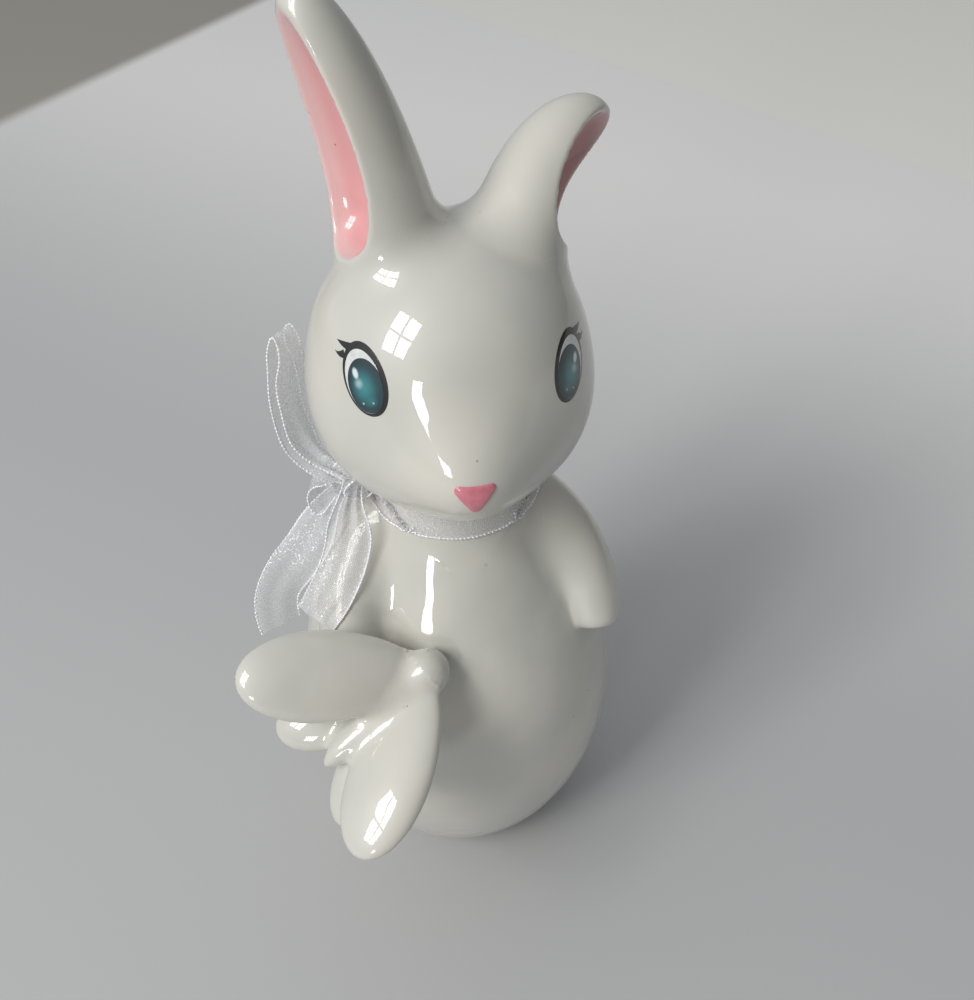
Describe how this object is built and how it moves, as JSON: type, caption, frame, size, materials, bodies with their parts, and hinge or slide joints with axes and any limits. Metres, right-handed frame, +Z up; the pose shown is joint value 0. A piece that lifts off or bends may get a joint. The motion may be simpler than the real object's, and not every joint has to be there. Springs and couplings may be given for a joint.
{
  "type": "ceramic rabbit figurine",
  "caption": "Glossy white ceramic rabbit figurine, standing upright, with teal eyes, a pink nose, a plump butterfly at its belly and an organza bow at its neck.",
  "frame": {"origin": "centre of the foot, on the surface that the rabbit stands on", "axes": "+Z up, the rabbit faces -Y, its right side is -X"},
  "size_m": [0.1101, 0.1385, 0.269],
  "materials": {
    "white_glaze": "high-gloss clear glaze over white slip-cast clay",
    "pink_enamel": "glossy on-glaze enamel, sprayed and fired",
    "eye_line": "glossy black ceramic colour",
    "eye_white": "glossy white ceramic colour",
    "eye_teal": "glossy teal ceramic colour with a paler glow",
    "organza": "sheer white organza with a metallic picot edge"
  },
  "bodies": {
    "root": {"body_casting": "white_glaze", "head_casting": "white_glaze", "ear_right": "white_glaze", "ear_left": "white_glaze", "inner_ear_right": "pink_enamel", "inner_ear_left": "pink_enamel", "eye_line_right": "eye_line", "eye_line_left": "eye_line", "eye_white_right": "eye_white", "eye_white_left": "eye_white", "eye_iris_right": "eye_teal", "eye_iris_left": "eye_teal", "nose": "pink_enamel", "arm_right": "white_glaze", "arm_left": "white_glaze", "tail": "white_glaze", "butterfly_body": "white_glaze", "forewing_right": "white_glaze", "forewing_left": "white_glaze", "hindwing_right": "white_glaze", "hindwing_left": "white_glaze", "neck_band": "organza", "knot": "organza", "ribbon_tail_front": "organza", "ribbon_tail_side": "organza", "ribbon_loop_upper": "organza", "ribbon_loop_lower": "organza"}
  },
  "joints": []
}
